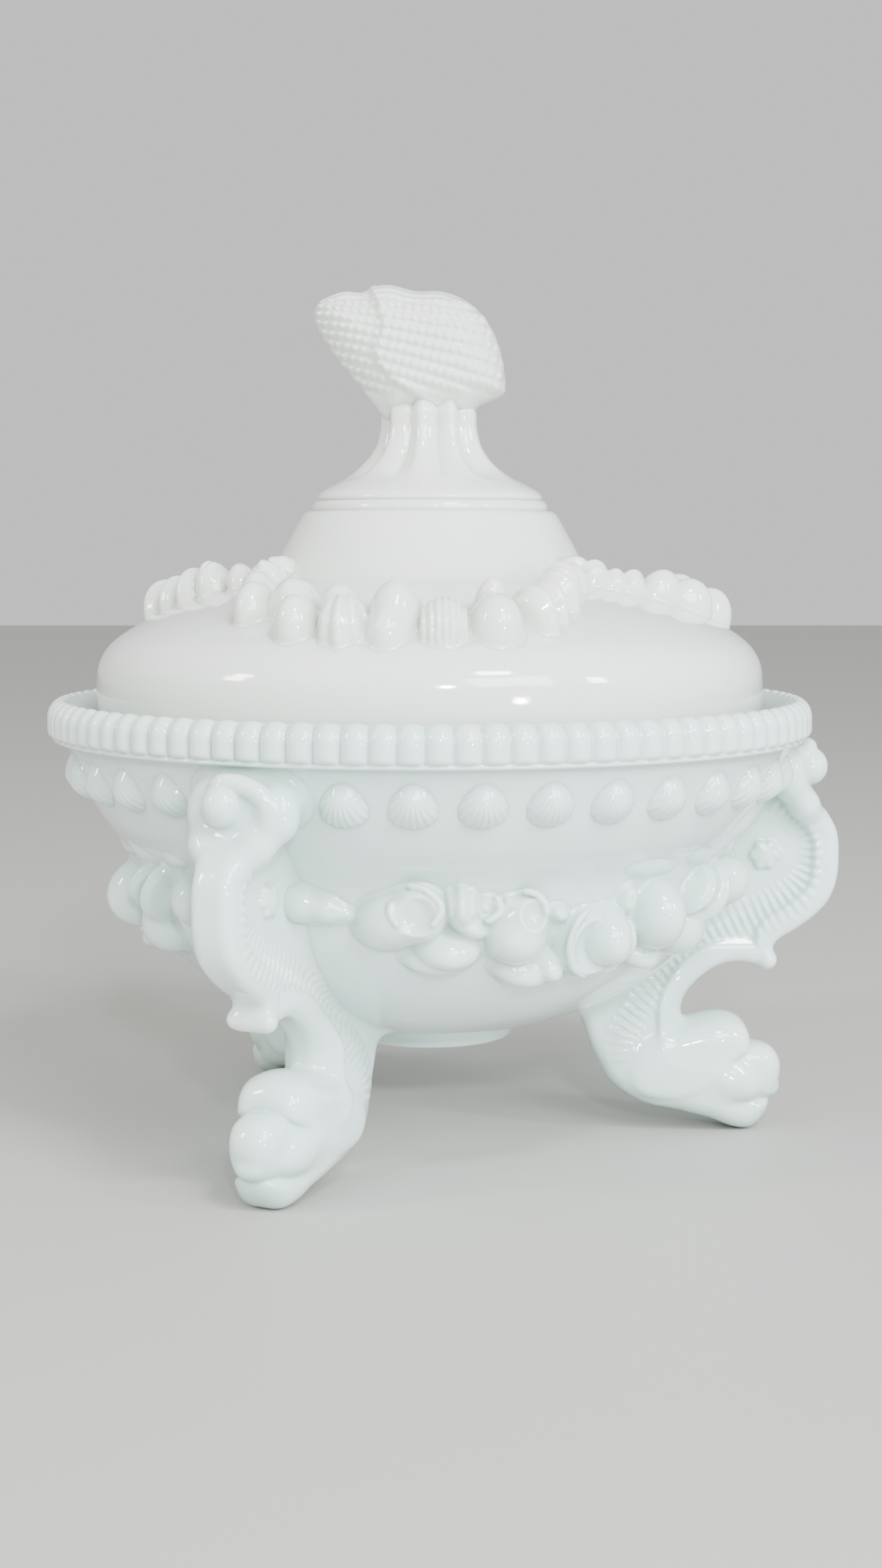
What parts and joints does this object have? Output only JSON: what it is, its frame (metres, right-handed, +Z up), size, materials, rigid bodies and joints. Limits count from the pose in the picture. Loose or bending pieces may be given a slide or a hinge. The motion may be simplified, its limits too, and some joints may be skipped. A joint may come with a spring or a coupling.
{
  "type": "covered footed dish",
  "caption": "Pressed milk-glass covered dish: round bowl on three scroll legs, lift-off domed lid with a scallop-shell finial.",
  "frame": {"origin": "on the bowl's axis, in the plane that the three paws stand on", "axes": "+Z up along the bowl's axis; +X towards the right leg, which stands 2.6 degrees from it; -Y towards the front"},
  "size_m": [0.1675, 0.16, 0.1794],
  "materials": {
    "base_glass": "glossy opaque milk glass",
    "lid_glass": "glossy opaque milk glass"
  },
  "bodies": {
    "base": {"bowl_shell": "base_glass", "foot_ring": "base_glass", "fruit_garland_front": "base_glass", "fruit_garland_left": "base_glass", "fruit_garland_rear": "base_glass", "leg_front_left_paw": "base_glass", "leg_front_left_scroll": "base_glass", "leg_rear_left_paw": "base_glass", "leg_rear_left_scroll": "base_glass", "leg_right_paw": "base_glass", "leg_right_scroll": "base_glass", "rim_beading": "base_glass", "scallop_frieze": "base_glass"},
    "lid": {"finial_disc": "lid_glass", "finial_shell": "lid_glass", "finial_stem": "lid_glass", "lid_collar": "lid_glass", "lid_locating_ring": "lid_glass", "lid_shell": "lid_glass", "shell_swag_front": "lid_glass", "shell_swag_left": "lid_glass", "shell_swag_right": "lid_glass"}
  },
  "joints": [
    {"name": "lid_lift", "type": "slide", "parent": "base", "child": "lid", "axis": [0, 0, 1], "range_m": [0, 0.09]}
  ]
}
